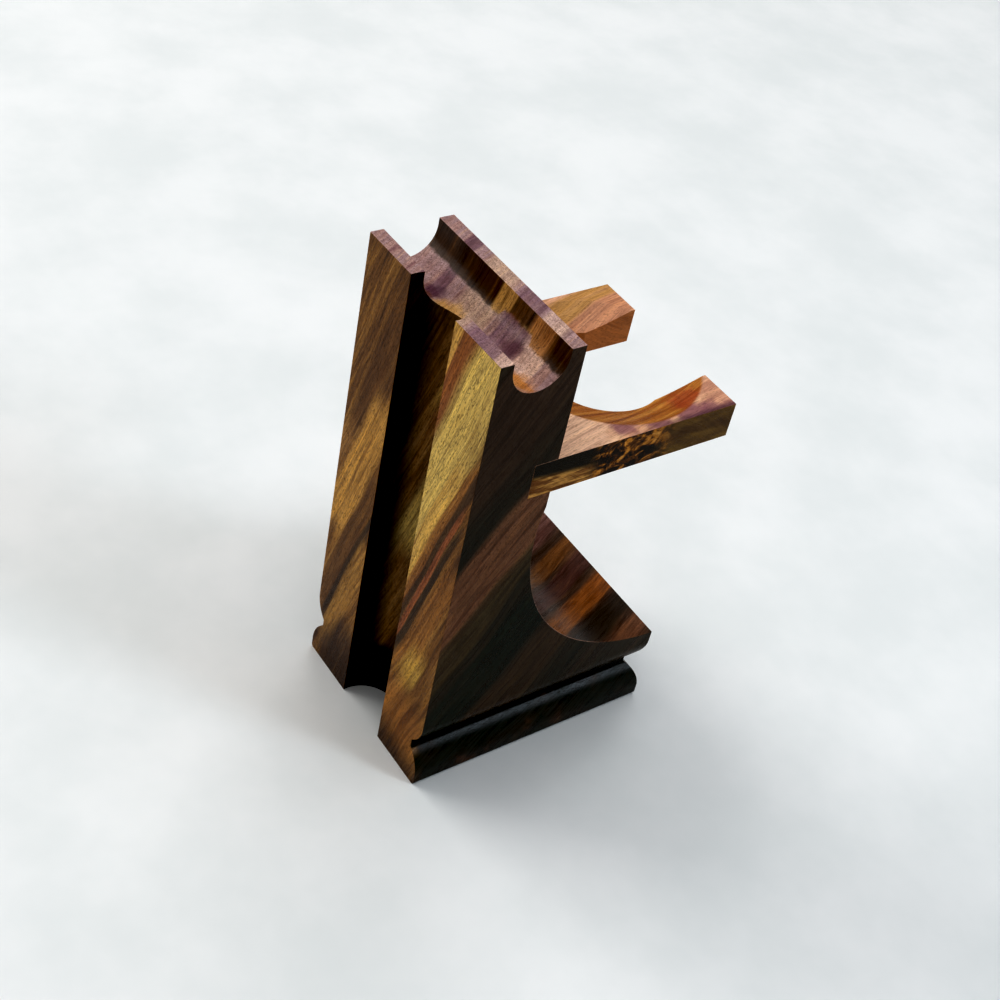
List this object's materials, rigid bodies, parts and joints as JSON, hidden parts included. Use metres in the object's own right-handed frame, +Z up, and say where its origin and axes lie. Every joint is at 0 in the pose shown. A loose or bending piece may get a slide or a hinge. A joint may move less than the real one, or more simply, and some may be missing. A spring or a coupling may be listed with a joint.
{
  "type": "razor stand",
  "caption": "Free-standing dark hardwood stand: a column grooved and fluted for a safety razor, a forked board for a shaving brush and a scooped tray over a moulded foot.",
  "frame": {"origin": "on the surface the stand rests on, under the middle of the bounding box", "axes": "+X across the width, +Y towards the back face with the flute for the razor's handle, +Z up; the brush fork points to -Y"},
  "size_m": [0.0458, 0.0644, 0.115],
  "materials": {
    "body_wood": "oiled satin, dark figured rosewood with golden sapwood streaks",
    "fork_wood": "oiled satin, warm brown rosewood",
    "dowel_wood": "plain pale hardwood, glued"
  },
  "bodies": {
    "root": {"body": "body_wood", "brush_fork": "fork_wood", "fork_dowel_left": "dowel_wood", "fork_dowel_right": "dowel_wood"}
  },
  "joints": []
}
